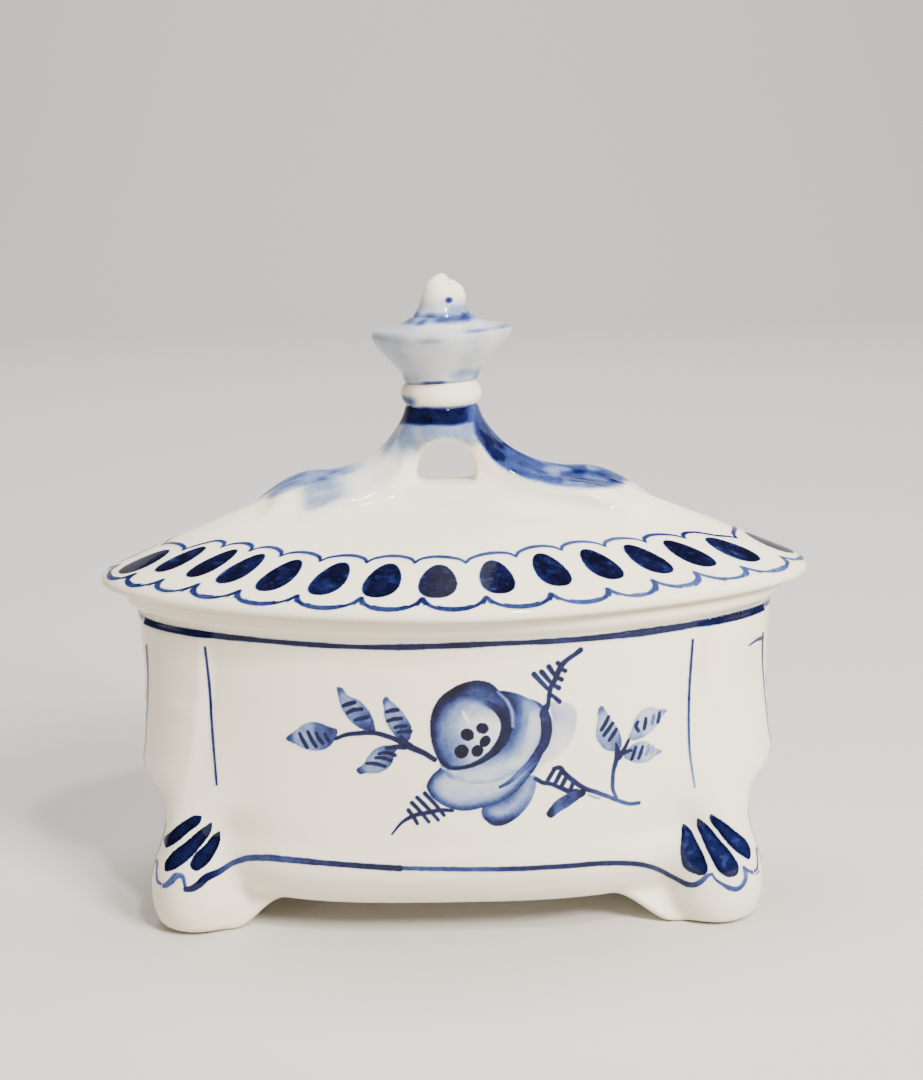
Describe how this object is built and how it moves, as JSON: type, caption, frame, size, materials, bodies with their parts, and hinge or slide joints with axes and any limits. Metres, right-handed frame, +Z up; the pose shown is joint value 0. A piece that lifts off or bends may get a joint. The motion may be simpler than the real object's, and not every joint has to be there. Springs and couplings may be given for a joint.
{
  "type": "trinket box",
  "caption": "Oval glazed porcelain trinket box on paw feet, with a domed lift-off lid, scalloped blue border, painted rose spray and a pierced leaf-strap knop.",
  "frame": {"origin": "centre of the bounding box on the table plane under the feet", "axes": "+X along the length of the box, +Z up, the painted front faces -Y"},
  "size_m": [0.1261, 0.073, 0.1104],
  "materials": {
    "white_glaze": "glossy clear glaze over white body",
    "painted_glaze": "glossy clear glaze over cobalt brushwork",
    "bare_foot": "unglazed foot pad",
    "cobalt_line": "cobalt blue under clear glaze",
    "cobalt_wash": "thin cobalt wash under clear glaze"
  },
  "bodies": {
    "box": {"box_wall": "white_glaze", "box_floor": "white_glaze", "rim_moulding": "white_glaze", "leg_front_left": "painted_glaze", "leg_front_right": "painted_glaze", "leg_back_left": "painted_glaze", "leg_back_right": "painted_glaze"},
    "lid": {"lid_dome": "white_glaze", "lid_flange": "white_glaze", "strap_front_left": "painted_glaze", "strap_front_right": "painted_glaze", "strap_back_left": "painted_glaze", "strap_back_right": "painted_glaze", "knop_stem": "painted_glaze", "knop_collar": "white_glaze", "knop_cup": "painted_glaze", "knop_bud": "white_glaze"}
  },
  "joints": [
    {"name": "lid_lift", "type": "slide", "parent": "box", "child": "lid", "axis": [0, 0, 1], "range_m": [0, 0.06]}
  ]
}
